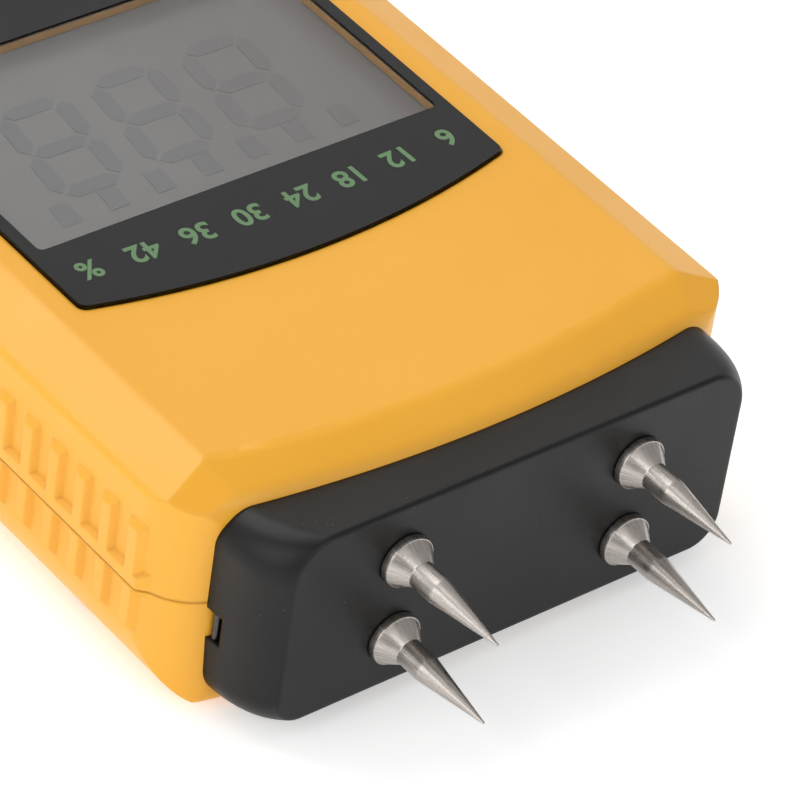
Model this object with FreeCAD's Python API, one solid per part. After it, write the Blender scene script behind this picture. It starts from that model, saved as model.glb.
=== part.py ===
"""Hand-held moisture meter with four needle pins: two-part moulded case, black probe nose,
display with a clear lens, three push buttons, circuit board, block battery and sliding door.
Millimetres; +Z up out of the display, +Y towards the pins, flat back on Z = 0."""
import FreeCAD, Part
import math
import os

V = FreeCAD.Vector

# ---- case ----
CASE_HALF_W = 33.75        # half the width over the plain side walls
CASE_H = 26.0              # flat back to the flat of the face
REAR_Y = -64.0             # rear end of the case
FRONT_Y = 63.7             # crown of the curved front end
FRONT_BOW_R = 140.0        # plan radius of the bowed front end
PARTING_Z = 12.7           # joint between the two halves
WALL = 2.0                 # wall of both halves
FACE_HALF_W = CASE_HALF_W - 5.45   # half width of the flat face between the side chamfers
CHAMFER_LOW_Z = CASE_H - 2.4       # lower edge of the chamfers
FACE_SOFT_R = 2.5          # soft edge between the flat face and its chamfers
SIDE_SOFT_R = 1.2          # soft edge between the side chamfers and the side walls
END_CHAMFER = 4.7          # run of the chamfer at both ends, along Y
BACK_SIDE_R = 7.0          # rounding along the sides of the back
BACK_END_R = 1.6           # rounding at the ends of the back
FRONT_LEAN = 0.9           # the rear half's front wall leans out this much at its foot
FRONT_EDGE_R = 3.2         # rounding under the end chamfers
FRONT_CORNER_R = 6.5       # upright corners at the front
REAR_CORNER_R = 7.0        # upright corners at the rear
OUTLINE_CLEAR = 0.02       # the outline stands this far off the walls, to round corners only
FACET_RUN = 1.4            # the facet on each front corner drops back this far at the side
FACET_DROP = 1.15          # and is this far below the face at its front
SEAM_W = 0.2               # fine groove left open along the parting line
SEAM_DEPTH = 0.12
LIP_H = 1.4                # locating lip of the rear half
LIP_T = 0.9                # thickness of that lip
FIT = 0.1                  # general gap between moulded pieces

# ---- grip ribs ----
RIB_COUNT = 17
RIB_PITCH = 4.15
RIB_FIRST_Y = FRONT_Y - 9.1        # rib nearest the nose
RIB_W = 2.3
RIB_OUT = 0.6              # how far the ribs stand out of the wall
RIB_BEVEL = 0.45           # bevel of their flanks
RIB_POINT = 1.3            # longer bevel of their free ends
RIB_ROOT = 0.6             # depth of the rib roots inside the wall
RIB_UP_TOP = 7.8           # height of the upper row above the parting line
RIB_DOWN = 6.2             # depth of the lower row below the parting line
BAND_UP = 1.3              # plain band above the parting line, level with the ribs
BAND_DOWN = 0.3            # plain band below it
BAND_SLOPE = 0.8           # slope from a band down to the wall between the ribs
BAND_FADE_REAR = 4.0       # length over which the bands fade away at the rear
BAND_FADE_FRONT = 1.2      # and at the front

# ---- probe nose ----
PIN_MID_Z = CASE_H / 2     # height of the centre of the pin group
NOSE_FACE_Y = FRONT_Y + 5.4        # front face of the nose
NOSE_FACE_HALF_W = CASE_HALF_W - 6.85
NOSE_FACE_TOP = CASE_H - 1.8
NOSE_FACE_LOW = 2.3
NOSE_SWELL_X = 2.8         # each side swells by this much from the face to the case
NOSE_SWELL_LOW = 1.1       # and the underside by this much
NOSE_SWELL_LENGTH = 3.0    # depth behind the face that takes most of the swell
NOSE_FALL_TOP = 0.13       # the top falls away towards the case, mm per mm
NOSE_TOP_R = 4.8
NOSE_TOP_R_LOSS = 0.15     # the upper corners grow tighter towards the case, mm per mm
NOSE_LOW_R = 3.4
NOSE_RIM_R = 0.35          # rounding round the front face
NECK_HALF_W = NOSE_FACE_HALF_W - 2.9       # neck through the end wall of the case
NECK_LOW = 4.2
NECK_TOP = CASE_H - NECK_LOW
FLANGE_HALF_W = NECK_HALF_W + 2.6  # flange held behind the end wall
FLANGE_LOW = NECK_LOW - 1.1
FLANGE_TOP = NECK_TOP + 1.0
FLANGE_T = 2.6
FLANGE_GAP = 1.312         # from the flange to the end wall at the flange's edge
FLANGE_BOW = FRONT_BOW_R - WALL - math.sqrt((FRONT_BOW_R - WALL) ** 2 - FLANGE_HALF_W ** 2)
FLANGE_Y = FRONT_Y - WALL - FLANGE_BOW - FLANGE_GAP - FLANGE_T
NOSE_SKIN = 4.4            # thickness behind the front face
NECK_WALL = 2.2
NOTCH_DEPTH = 3.0          # latch notch cut in each side of the nose
NOTCH_FRONT_Y = FRONT_Y - 1.0
NOTCH_TOP = PARTING_Z - 0.6
NOTCH_LOW = NOTCH_TOP - 3.4
POST_R = 0.45              # latch post in the notch
POST_INSET = 2.1           # from the notch's inner wall to the post
POST_BACK = 1.2            # from the notch's front wall to the post

# ---- needle pins and what holds them ----
PIN_HALF_X = 14.0          # half the spacing across
PIN_HALF_Z = 4.78          # half the spacing up and down
COLLAR_R = 2.76
COLLAR_L = 0.9
COLLAR_EDGE = 0.15
CONE_L = 1.72
SHANK_R = 1.4
SHANK_END = 4.45           # rim to the start of the point
TIP_END = 13.0             # rim to the tip
TIP_R = 0.14
STUD_R = 1.2
STUD_L = 11.2              # stud behind the collar
INSERT_R = 2.6
INSERT_L = 7.8
BOSS_R = 3.7
PLATE_T = 0.4              # contact plate joining the two pins of a side
PLATE_W = 6.0
NUT_FLAT = 5.0
NUT_T = 2.0

# ---- display ----
LENS_HALF_W = FACE_HALF_W - 2.8
LENS_FRONT_Y = FRONT_Y - 27.3
LENS_REAR_Y = LENS_FRONT_Y - 50.4
LENS_BOW_R = 96.0
LENS_T = 1.25
LENS_CORNER_R = 1.0
LENS_GAP = 0.12
MASK_T = 0.15              # black printed border on the lens
RECESS_DEPTH = 1.0         # recess for lens and mask in the face
WINDOW_HALF_W = LENS_HALF_W - 1.45
WINDOW_REAR_Y = LENS_REAR_Y + 8.9
WINDOW_FRONT_Y = LENS_FRONT_Y - 12.25
WINDOW_R = 0.7
WINDOW_MARGIN = 0.3        # the case opening is this much larger than the border's
GLASS_HALF_W = WINDOW_HALF_W + 1.95
GLASS_REAR_Y = WINDOW_REAR_Y - 2.9
GLASS_FRONT_Y = WINDOW_FRONT_Y + 5.85
GLASS_T = 2.8
GLASS_GAP = 0.3            # below the inside of the face
FRAME_WALL = 1.2
STRIP_W = 2.2
STRIP_H = 3.9              # fitted height of the strips, board to glass
STRIP_HALF_L = 20.0
STRIP_EDGE = 1.2           # from the glass's edge to a strip

# ---- board ----
BOARD_TOP = CASE_H - WALL - GLASS_GAP - GLASS_T - STRIP_H
BOARD_T = 1.6
BOARD_HALF_W = CASE_HALF_W - 6.25
BOARD_FRONT_Y = FLANGE_Y - 5.2
STANDOFF_R = 2.6
BOARD_SCREW_R = 1.1
BOARD_SCREW_HEAD_R = 2.2
BOARD_SCREW_HEAD_T = 1.5
BOARD_SCREW_L = 4.6
BUZZER_Y = BOARD_FRONT_Y - 14.0

# ---- case screws ----
SCREW_BOSS_R = 3.2
SCREW_LIP_GAP = 0.35       # from the bosses to the locating lip
SCREW_X = CASE_HALF_W - WALL - LIP_T - SCREW_LIP_GAP - SCREW_BOSS_R
SCREW_R = 1.3
SCREW_HEAD_R = 2.7
SCREW_HEAD_T = 1.8
SCREW_SEAT_Z = 3.2
SCREW_TIP_Z = CASE_H - 5.5

# ---- buttons ----
BUTTON_PITCH = 16.0
BUTTON_XS = (-BUTTON_PITCH, 0.0, BUTTON_PITCH)
BUTTON_Y = LENS_REAR_Y - 9.0
BUTTON_HALF_W = 5.5
BUTTON_HALF_L = 3.6
BUTTON_R = 2.8
BUTTON_OUT = 0.9
BUTTON_GAP = 0.15
BUTTON_FLANGE = 0.9
BUTTON_FLANGE_T = 1.0
BUTTON_TRAVEL = 0.5
STEM_R = 1.8
SWITCH_HALF = 3.0
SWITCH_H = 3.3
SWITCH_KNOB_R = 1.5
SWITCH_KNOB_H = 0.6

# ---- battery, clip and door ----
BATTERY_L = 46.0
BATTERY_W = 26.2
BATTERY_T = 17.5
BATTERY_X = -BATTERY_L / 2 - 1.9   # plain end of the battery
BATTERY_Y = REAR_Y + WALL + 1.4    # rear side of the battery
DOOR_T = 2.1
BATTERY_Z = DOOR_T + 0.3
TERMINAL_R = (2.9, 3.7)
TERMINAL_L = 2.4
TERMINAL_PITCH = 12.7
CLIP_T = 3.4
CLIP_W = 25.0
CLIP_H = 12.0
LEAD_R = 0.55
LEAD_BEND = 1.8
LEAD_X = BATTERY_X + BATTERY_L + 1.2
PARTITION_Y = BATTERY_Y + BATTERY_W + 1.0
PARTITION_T = 1.4
PARTITION_TOP = BOARD_TOP - BOARD_T - 0.8
DOOR_HALF_W = -BATTERY_X
DOOR_FRONT_Y = PARTITION_Y + PARTITION_T + 0.1
DOOR_GAP = 0.2
TONGUE = 1.4
TONGUE_LOW = 1.2
RAIL_W = 3.0
RAIL_TOP = 3.8
PAD_HALF_W = 17.0
PAD_HALF_L = 8.0
RIDGE_HALF_W = 9.0         # finger ridges in the door
RIDGE_YS = (6.0, 8.5, 11.0, 13.5)  # their distances from the rear end

BOARD_REAR_Y = DOOR_FRONT_Y + 0.7
SCREW_YS = (FRONT_Y - 20.2, BUTTON_Y - 1.0)
STANDOFFS = ((-PIN_HALF_X - 4.0, BOARD_FRONT_Y - 4.0), (PIN_HALF_X + 4.0, BOARD_FRONT_Y - 4.0),
             (-BUTTON_PITCH - 4.5, LENS_REAR_Y), (BUTTON_PITCH + 4.5, LENS_REAR_Y))

FACE_SLOPE = math.atan2(CASE_H - CHAMFER_LOW_Z, CASE_HALF_W - FACE_HALF_W)
END_SLOPE = math.atan2(CASE_H - CHAMFER_LOW_Z, END_CHAMFER)
PIN_RIM_Y = NOSE_FACE_Y + COLLAR_L
ROOF_Z = CASE_H - WALL
RECESS_Z = CASE_H - RECESS_DEPTH
GLASS_TOP = ROOF_Z - GLASS_GAP
BOARD_LOW = BOARD_TOP - BOARD_T


def box(x0, x1, y0, y1, z0, z1):
    return Part.makeBox(x1 - x0, y1 - y0, z1 - z0, V(x0, y0, z0))


def cyl_y(x, z, radius, y0, y1):
    return Part.makeCylinder(radius, y1 - y0, V(x, y0, z), V(0, 1, 0))


def cyl_z(x, y, radius, z0, z1):
    return Part.makeCylinder(radius, z1 - z0, V(x, y, z0))


def joined(first, others):
    if not others:
        return first
    return first.multiFuse(others).removeSplitter()


def rounded_plate(x0, x1, y0, y1, z0, z1, radius):
    plate = box(x0, x1, y0, y1, z0, z1)
    uprights = [e for e in plate.Edges if abs(e.Vertexes[0].Z - e.Vertexes[-1].Z) > 0.5 * (z1 - z0)]
    return plate.makeFillet(radius, uprights)


def write(shape, name):
    shape.exportStep("parts/" + name + ".step")


def rounded_wire(corners):
    """Closed wire through corners given as (point, radius); a radius of 0 stays sharp."""
    stops = []
    for k, (point, radius) in enumerate(corners):
        before = (corners[k - 1][0] - point).normalize()
        after = (corners[(k + 1) % len(corners)][0] - point).normalize()
        if radius <= 0:
            stops.append((point, None, point))
            continue
        half_turn = before.getAngle(after) / 2
        reach = radius / math.tan(half_turn)
        middle = point + (before + after).normalize() * (radius / math.sin(half_turn) - radius)
        stops.append((point + before * reach, middle, point + after * reach))
    edges = []
    for k, (start, middle, end) in enumerate(stops):
        if middle is not None:
            edges.append(Part.Arc(start, middle, end).toShape())
        edges.append(Part.makeLine(end, stops[(k + 1) % len(stops)][0]))
    return Part.Wire(edges)


def cross_section(inset):
    """Closed XZ section of the case: flat face, chamfers, sides and rounded back."""
    half = CASE_HALF_W - inset
    top = CASE_H - inset
    flat = FACE_HALF_W - inset * math.tan(FACE_SLOPE / 2)
    low = CHAMFER_LOW_Z - inset * (1 / math.cos(FACE_SLOPE) - math.tan(FACE_SLOPE))
    right = [(V(flat, 0, top), FACE_SOFT_R - inset), (V(half, 0, low), SIDE_SOFT_R - inset),
             (V(half, 0, inset), BACK_SIDE_R - inset)]
    left = [(V(-p.x, 0, p.z), radius) for p, radius in reversed(right)]
    return Part.Face(rounded_wire(right + left))


def end_face(inset, reach, end, lean, put):
    """Face bounded by one end's profile; put() turns (distance, height) into a point."""
    top = CASE_H - inset
    flat = end - END_CHAMFER - inset * math.tan(END_SLOPE / 2)
    wall = end - inset
    low = CHAMFER_LOW_Z - inset * (1 / math.cos(END_SLOPE) - math.tan(END_SLOPE))
    corners = [(put(reach, top), 0), (put(flat, top), FACE_SOFT_R - inset),
               (put(wall, low), FRONT_EDGE_R - inset), (put(wall, PARTING_Z), 0),
               (put(wall + lean, inset), max(BACK_END_R - inset, 0.5)),
               (put(reach, inset), 0)]
    return Part.Face(rounded_wire(corners))


def plan_wire(inset, lean, z):
    """Outline of the case from above at one height: round rear corners and a bowed front."""
    half = CASE_HALF_W - inset + OUTLINE_CLEAR
    rear = REAR_Y + inset - OUTLINE_CLEAR
    rear_r = REAR_CORNER_R - inset
    front_r = FRONT_CORNER_R - inset
    bow_r = FRONT_BOW_R - inset + lean + OUTLINE_CLEAR
    bow_y = FRONT_Y - FRONT_BOW_R
    corner_y = bow_y + math.sqrt((bow_r - front_r) ** 2 - (half - front_r) ** 2)
    turn = math.atan2(corner_y - bow_y, half - front_r)
    nook = rear_r * (1 - math.sqrt(0.5))

    def on_corner(angle):
        return half - front_r + front_r * math.cos(angle), corner_y + front_r * math.sin(angle)

    def arc(start, middle, end):
        return Part.Arc(V(*start, z), V(*middle, z), V(*end, z)).toShape()

    def mirrored(point):
        return -point[0], point[1]

    rear_a, rear_b, rear_c = (half - rear_r, rear), (half - nook, rear + nook), (half, rear + rear_r)
    front_a, front_b, front_c = on_corner(0), on_corner(turn / 2), on_corner(turn)
    edges = [Part.makeLine(V(*mirrored(rear_a), z), V(*rear_a, z)), arc(rear_a, rear_b, rear_c),
             Part.makeLine(V(*rear_c, z), V(*front_a, z)), arc(front_a, front_b, front_c),
             arc(front_c, (0, bow_y + bow_r), mirrored(front_c)),
             arc(mirrored(front_c), mirrored(front_b), mirrored(front_a)),
             Part.makeLine(V(*mirrored(front_a), z), V(*mirrored(rear_c), z)),
             arc(mirrored(rear_c), mirrored(rear_b), mirrored(rear_a))]
    return Part.Wire(edges)


def corner_facet(side, inset):
    """Wedge that planes off the top of one upright front corner."""
    drop = inset * 1.15
    bow_sag = FRONT_BOW_R - math.sqrt(FRONT_BOW_R ** 2 - FACE_HALF_W ** 2)
    apex = V(side * FACE_HALF_W, FRONT_Y - END_CHAMFER - bow_sag, CASE_H - drop)
    out = V(side * CASE_HALF_W, apex.y + FACET_RUN, CHAMFER_LOW_Z - drop)
    front = V(side * (FACE_HALF_W - 0.6), apex.y + 2 * FACET_DROP, apex.z - FACET_DROP)
    normal = (out - apex).cross(front - apex)
    normal.normalize()
    if normal.z < 0:
        normal = normal * -1
    disc = Part.makeCylinder(30, 12, apex, normal)
    reach = box(min(side * 20, side * 40), max(side * 20, side * 40), apex.y - 0.01,
                FRONT_Y + 5, CASE_H - 12, CASE_H + 8)
    return disc.common(reach)


def case_solid(inset):
    """The whole case outline as one solid, drawn in by inset on every face."""
    length = FRONT_Y - REAR_Y + 20
    body = cross_section(inset).extrude(V(0, length, 0))
    body.translate(V(0, REAR_Y - 10, 0))
    seam = plan_wire(inset, 0, PARTING_Z)
    foot_z = inset - 1
    foot_lean = FRONT_LEAN * (PARTING_Z - foot_z) / (PARTING_Z - inset)
    upper = Part.Face(seam).extrude(V(0, 0, CASE_H))
    lower = Part.makeLoft([plan_wire(inset, foot_lean, foot_z), seam], True, True)
    body = body.common(upper.fuse(lower))
    centre = FRONT_Y - FRONT_BOW_R
    face = end_face(inset, 0.0, FRONT_BOW_R, FRONT_LEAN, lambda d, z: V(0, centre + d, z))
    body = body.common(face.revolve(V(0, centre, 0), V(0, 0, 1), 360))
    tail = end_face(inset, -FRONT_Y - 10, -REAR_Y, 0.0, lambda d, z: V(-60, -d, z))
    body = body.common(tail.extrude(V(120, 0, 0)))
    for side in (-1, 1):
        body = body.cut(corner_facet(side, inset))
    return body


def oblong(x, y0, y1, z0, z1):
    return Part.makePolygon([V(x, y0, z0), V(x, y1, z0), V(x, y1, z1), V(x, y0, z1),
                             V(x, y0, z0)])


def on_side(solid, side):
    return solid.mirror(V(0, 0, 0), V(1, 0, 0)) if side < 0 else solid


def rib(side, y, rooted, free):
    """One grip rib from its rooted end, at the parting line, to its free, pointed end."""
    half = RIB_W / 2
    point = RIB_POINT if free > rooted else -RIB_POINT
    low, high = sorted((rooted, free))
    crown_low, crown_high = sorted((rooted, free - point))
    foot = oblong(CASE_HALF_W - RIB_ROOT, y - half - RIB_BEVEL, y + half + RIB_BEVEL, low, high)
    crown = oblong(CASE_HALF_W + RIB_OUT, y - half + RIB_BEVEL, y + half - RIB_BEVEL,
                   crown_low, crown_high)
    return on_side(Part.makeLoft([foot, crown], True, True), side)


def band(side, way, height):
    """Plain band beside the parting line; its far edge slopes and its ends fade away."""
    first = RIB_FIRST_Y + RIB_W / 2
    last = RIB_FIRST_Y - (RIB_COUNT - 1) * RIB_PITCH - RIB_W / 2
    low, high = sorted((PARTING_Z, PARTING_Z + way * (height + BAND_SLOPE)))
    crown_low, crown_high = sorted((PARTING_Z, PARTING_Z + way * height))
    foot = oblong(CASE_HALF_W - RIB_ROOT, last - BAND_FADE_REAR, first + BAND_FADE_FRONT,
                  low, high)
    crown = oblong(CASE_HALF_W + RIB_OUT, last, first, crown_low, crown_high)
    return on_side(Part.makeLoft([foot, crown], True, True), side)


def grip(way, length, band_height):
    """Ribs and band of one half; way is +1 above the parting line and -1 below it."""
    pieces = []
    for side in (-1, 1):
        pieces.append(band(side, way, band_height))
        for k in range(RIB_COUNT):
            pieces.append(rib(side, RIB_FIRST_Y - k * RIB_PITCH, PARTING_Z,
                              PARTING_Z + way * length))
    return pieces


def slab(z0, z1):
    return box(-60, 60, REAR_Y - 20, FRONT_Y + 30, z0, z1)


def lens_outline(grow, z0, z1):
    plate = rounded_plate(-LENS_HALF_W - grow, LENS_HALF_W + grow, LENS_REAR_Y - grow,
                          LENS_FRONT_Y + 20, z0, z1, LENS_CORNER_R)
    bow = Part.makeCylinder(LENS_BOW_R + grow, z1 - z0, V(0, LENS_FRONT_Y - LENS_BOW_R, z0))
    plate = plate.common(bow)
    fronts = [e for e in plate.Edges
              if abs(e.Vertexes[0].Z - e.Vertexes[-1].Z) > 0.5 * (z1 - z0)
              and e.Vertexes[0].Y > 20]
    return plate.makeFillet(LENS_CORNER_R, fronts)


def button_cap(x, grow, z0, z1):
    return rounded_plate(x - BUTTON_HALF_W - grow, x + BUTTON_HALF_W + grow,
                         BUTTON_Y - BUTTON_HALF_L - grow, BUTTON_Y + BUTTON_HALF_L + grow,
                         z0, z1, BUTTON_R + grow)


def neck_opening():
    return box(-NECK_HALF_W - FIT, NECK_HALF_W + FIT, FLANGE_Y - 1, FRONT_Y + 8,
               NECK_LOW - FIT, NECK_TOP + FIT)


def front_housing(shell, outline):
    half = shell.common(slab(PARTING_Z, CASE_H + 5))
    adds = grip(1, RIB_UP_TOP, BAND_UP)
    for x, y in STANDOFFS:
        adds.append(cyl_z(x, y, STANDOFF_R, BOARD_TOP, ROOF_Z + 0.5))
    for x in (-SCREW_X, SCREW_X):
        for y in SCREW_YS:
            boss = cyl_z(x, y, SCREW_BOSS_R, PARTING_Z, CASE_H)
            adds.append(boss.common(outline))
    half = joined(half, adds)
    cuts = [lens_outline(LENS_GAP, RECESS_Z, CASE_H + 3)]
    cuts.append(rounded_plate(-WINDOW_HALF_W - WINDOW_MARGIN, WINDOW_HALF_W + WINDOW_MARGIN,
                              WINDOW_REAR_Y - WINDOW_MARGIN, WINDOW_FRONT_Y + WINDOW_MARGIN,
                              ROOF_Z - 2, CASE_H + 1, WINDOW_R))
    for x in BUTTON_XS:
        cuts.append(button_cap(x, BUTTON_GAP, ROOF_Z - 2, CASE_H + 1))
    for x, y in STANDOFFS:
        cuts.append(cyl_z(x, y, BOARD_SCREW_R, BOARD_TOP - 1, BOARD_TOP + BOARD_SCREW_L))
    for x in (-SCREW_X, SCREW_X):
        for y in SCREW_YS:
            cuts.append(cyl_z(x, y, SCREW_R, PARTING_Z - 1, SCREW_TIP_Z + 0.5))
    cuts.append(neck_opening())
    return half.cut(cuts)


def rear_housing(shell, outline, inner):
    half = shell.common(slab(-1, PARTING_Z))
    adds = grip(-1, RIB_DOWN, BAND_DOWN)
    lip = inner.cut(case_solid(WALL + LIP_T))
    lip = lip.common(slab(PARTING_Z - 1, PARTING_Z + LIP_H))
    lip = lip.common(box(-60, 60, REAR_Y, FLANGE_Y - 1.0, 0, CASE_H))
    skin = case_solid(WALL + 0.06)
    high = lip.common(skin).common(slab(PARTING_Z, PARTING_Z + LIP_H))
    low = lip.common(slab(PARTING_Z - 1, PARTING_Z))
    adds.append(high.fuse(low))
    for x in (-SCREW_X, SCREW_X):
        for y in SCREW_YS:
            boss = cyl_z(x, y, SCREW_BOSS_R, 0, PARTING_Z)
            adds.append(boss.common(outline))
    adds.append(box(-CASE_HALF_W + WALL / 2, CASE_HALF_W - WALL / 2, PARTITION_Y,
                    PARTITION_Y + PARTITION_T, WALL - 0.5, PARTITION_TOP).common(inner))
    for side in (-1, 1):
        x0, x1 = sorted((side * (DOOR_HALF_W + DOOR_GAP),
                         side * (DOOR_HALF_W + DOOR_GAP + RAIL_W)))
        adds.append(box(x0, x1, REAR_Y + 1, DOOR_FRONT_Y + 2, WALL - 0.5,
                        RAIL_TOP).common(outline))
    half = joined(half, adds)
    seam = slab(PARTING_Z - SEAM_W, PARTING_Z + LIP_H).cut(case_solid(SEAM_DEPTH))
    cuts = [neck_opening(), seam]
    for x in (-SCREW_X, SCREW_X):
        for y in SCREW_YS:
            cuts.append(cyl_z(x, y, SCREW_R + 0.3, -1, PARTING_Z + 1))
            cuts.append(cyl_z(x, y, SCREW_HEAD_R + 0.2, -1, SCREW_SEAT_Z))
    wide = DOOR_HALF_W + DOOR_GAP
    cuts.append(box(-wide, wide, REAR_Y - 1, DOOR_FRONT_Y + DOOR_GAP, -1, BATTERY_Z + 0.2))
    groove = wide + TONGUE
    cuts.append(box(-groove, groove, REAR_Y - 1, DOOR_FRONT_Y + DOOR_GAP,
                    TONGUE_LOW - DOOR_GAP, DOOR_T + DOOR_GAP))
    cuts.append(box(LEAD_X - 1.6, LEAD_X + 1.6, PARTITION_Y - 1, PARTITION_Y + PARTITION_T + 1,
                    8.0, PARTITION_TOP + 1))
    return half.cut(cuts)


def nose_section(y):
    """Rounded outline of the nose at one station along its length."""
    back = NOSE_FACE_Y - y
    swell = 1 - math.exp(-back / NOSE_SWELL_LENGTH)
    half = NOSE_FACE_HALF_W + NOSE_SWELL_X * swell
    top = NOSE_FACE_TOP - NOSE_FALL_TOP * back
    low = NOSE_FACE_LOW - NOSE_SWELL_LOW * swell
    top_r = NOSE_TOP_R - NOSE_TOP_R_LOSS * back
    return rounded_wire([(V(-half, y, top), top_r), (V(half, y, top), top_r),
                         (V(half, y, low), NOSE_LOW_R), (V(-half, y, low), NOSE_LOW_R)])


def pin_places():
    for side in (-1, 1):
        for level in (-1, 1):
            yield side * PIN_HALF_X, PIN_MID_Z + level * PIN_HALF_Z


def probe_nose(outline):
    depths = (NOSE_FACE_Y - FRONT_Y + 6, 2.0 * NOSE_SWELL_LENGTH, 1.1 * NOSE_SWELL_LENGTH,
              0.5 * NOSE_SWELL_LENGTH, 0)
    nose = Part.makeLoft([nose_section(NOSE_FACE_Y - depth) for depth in depths], True, False)
    nose = nose.cut(outline)
    rim = [e for e in nose.Edges
           if all(abs(v.Y - NOSE_FACE_Y) < 0.001 for v in e.Vertexes)]
    nose = nose.makeFillet(NOSE_RIM_R, rim)
    neck = box(-NECK_HALF_W, NECK_HALF_W, FLANGE_Y, FRONT_Y + 2, NECK_LOW, NECK_TOP)
    flange = box(-FLANGE_HALF_W, FLANGE_HALF_W, FLANGE_Y, FLANGE_Y + FLANGE_T, FLANGE_LOW,
                 FLANGE_TOP)
    nose = joined(nose, [neck, flange])
    inside = NOSE_FACE_Y - NOSE_SKIN
    nose = nose.cut(box(NECK_WALL - NECK_HALF_W, NECK_HALF_W - NECK_WALL, FLANGE_Y - 1, inside,
                        NECK_LOW + NECK_WALL, NECK_TOP - NECK_WALL))
    bosses = [cyl_y(x, z, BOSS_R, NOSE_FACE_Y - INSERT_L, inside + 0.5) for x, z in pin_places()]
    nose = joined(nose, bosses)
    cuts = [cyl_y(x, z, INSERT_R, NOSE_FACE_Y - INSERT_L - 1, NOSE_FACE_Y + 1)
            for x, z in pin_places()]
    plate_low = PIN_MID_Z - PIN_HALF_Z - PLATE_W / 2 - FIT
    plate_top = PIN_MID_Z + PIN_HALF_Z + PLATE_W / 2 + FIT
    nut_room = max(PLATE_W / 2, NUT_FLAT / math.sqrt(3)) + FIT
    for side in (-1, 1):
        mid = side * PIN_HALF_X
        cuts.append(box(mid - nut_room, mid + nut_room, FLANGE_Y - 1, NOSE_FACE_Y - INSERT_L,
                        plate_low, plate_top))
        x0, x1 = sorted((side * (NOSE_FACE_HALF_W + NOSE_SWELL_X - NOTCH_DEPTH),
                         side * (CASE_HALF_W + 5)))
        cuts.append(box(x0, x1, FRONT_Y - 8, NOTCH_FRONT_Y, NOTCH_LOW, NOTCH_TOP))
    return nose.cut(cuts)


def latch_posts():
    posts = []
    for side in (-1, 1):
        x = side * (NOSE_FACE_HALF_W + NOSE_SWELL_X - NOTCH_DEPTH + POST_INSET)
        post = cyl_z(x, NOTCH_FRONT_Y - POST_BACK, POST_R, NOTCH_LOW, NOTCH_TOP)
        posts.append(post)
    return Part.makeCompound(posts)


def needle_pin(x, z):
    rim = PIN_RIM_Y
    profile = [V(0, NOSE_FACE_Y - STUD_L, 0), V(STUD_R - 0.25, NOSE_FACE_Y - STUD_L, 0),
               V(STUD_R, NOSE_FACE_Y - STUD_L + 0.25, 0), V(STUD_R, NOSE_FACE_Y, 0),
               V(COLLAR_R - COLLAR_EDGE, NOSE_FACE_Y, 0),
               V(COLLAR_R, NOSE_FACE_Y + COLLAR_EDGE, 0), V(COLLAR_R, rim - COLLAR_EDGE, 0),
               V(COLLAR_R - COLLAR_EDGE, rim, 0), V(SHANK_R + 0.1, rim + CONE_L, 0),
               V(SHANK_R, rim + CONE_L, 0), V(SHANK_R, rim + SHANK_END, 0),
               V(TIP_R, rim + TIP_END - TIP_R, 0), V(0, rim + TIP_END, 0),
               V(0, NOSE_FACE_Y - STUD_L, 0)]
    face = Part.Face(Part.makePolygon(profile))
    pin = face.revolve(V(0, 0, 0), V(0, 1, 0), 360)
    pin.translate(V(x, 0, z))
    return pin


def needle_pins():
    return Part.makeCompound([needle_pin(x, z) for x, z in pin_places()])


def pin_inserts():
    back = NOSE_FACE_Y - INSERT_L
    return Part.makeCompound([cyl_y(x, z, INSERT_R, back, NOSE_FACE_Y).cut(
        cyl_y(x, z, STUD_R, back - 1, NOSE_FACE_Y + 1)) for x, z in pin_places()])


def contact_plates():
    y1 = NOSE_FACE_Y - INSERT_L
    plates = []
    for side in (-1, 1):
        mid = side * PIN_HALF_X
        low = PIN_MID_Z - PIN_HALF_Z - PLATE_W / 2
        top = PIN_MID_Z + PIN_HALF_Z + PLATE_W / 2
        plate = box(mid - PLATE_W / 2, mid + PLATE_W / 2, y1 - PLATE_T, y1, low, top)
        holes = [cyl_y(mid, PIN_MID_Z + level * PIN_HALF_Z, STUD_R, y1 - 1, y1 + 1)
                 for level in (-1, 1)]
        plates.append(plate.cut(holes))
    return Part.makeCompound(plates)


def hexagon(x, z, flat, y0, y1):
    radius = flat / math.sqrt(3)
    points = [V(x + radius * math.cos(math.radians(60 * k)), y0,
                z + radius * math.sin(math.radians(60 * k))) for k in range(6)]
    face = Part.Face(Part.makePolygon(points + points[:1]))
    return face.extrude(V(0, y1 - y0, 0))


def pin_nuts():
    y1 = NOSE_FACE_Y - INSERT_L - PLATE_T
    return Part.makeCompound([hexagon(x, z, NUT_FLAT, y1 - NUT_T, y1).cut(
        cyl_y(x, z, STUD_R, y1 - NUT_T - 1, y1 + 1)) for x, z in pin_places()])


def bent_lead(x, y_start, z_start, y_up, z_end):
    """Round lead: straight along Y, one bend, then straight up to the board."""
    step = 1 if y_up > y_start else -1
    bend = LEAD_BEND
    near = y_up - step * bend
    k = bend * math.sqrt(0.5)
    edges = [Part.makeLine(V(x, y_start, z_start), V(x, near, z_start)),
             Part.Arc(V(x, near, z_start), V(x, near + step * k, z_start + bend - k),
                      V(x, y_up, z_start + bend)).toShape()]
    if z_end - z_start - bend > 0.001:
        edges.append(Part.makeLine(V(x, y_up, z_start + bend), V(x, y_up, z_end)))
    spine = Part.Wire(edges)
    ring = Part.Wire(Part.makeCircle(LEAD_R, V(x, y_start, z_start), V(0, step, 0)))
    return spine.makePipeShell([ring], True, False)


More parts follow.
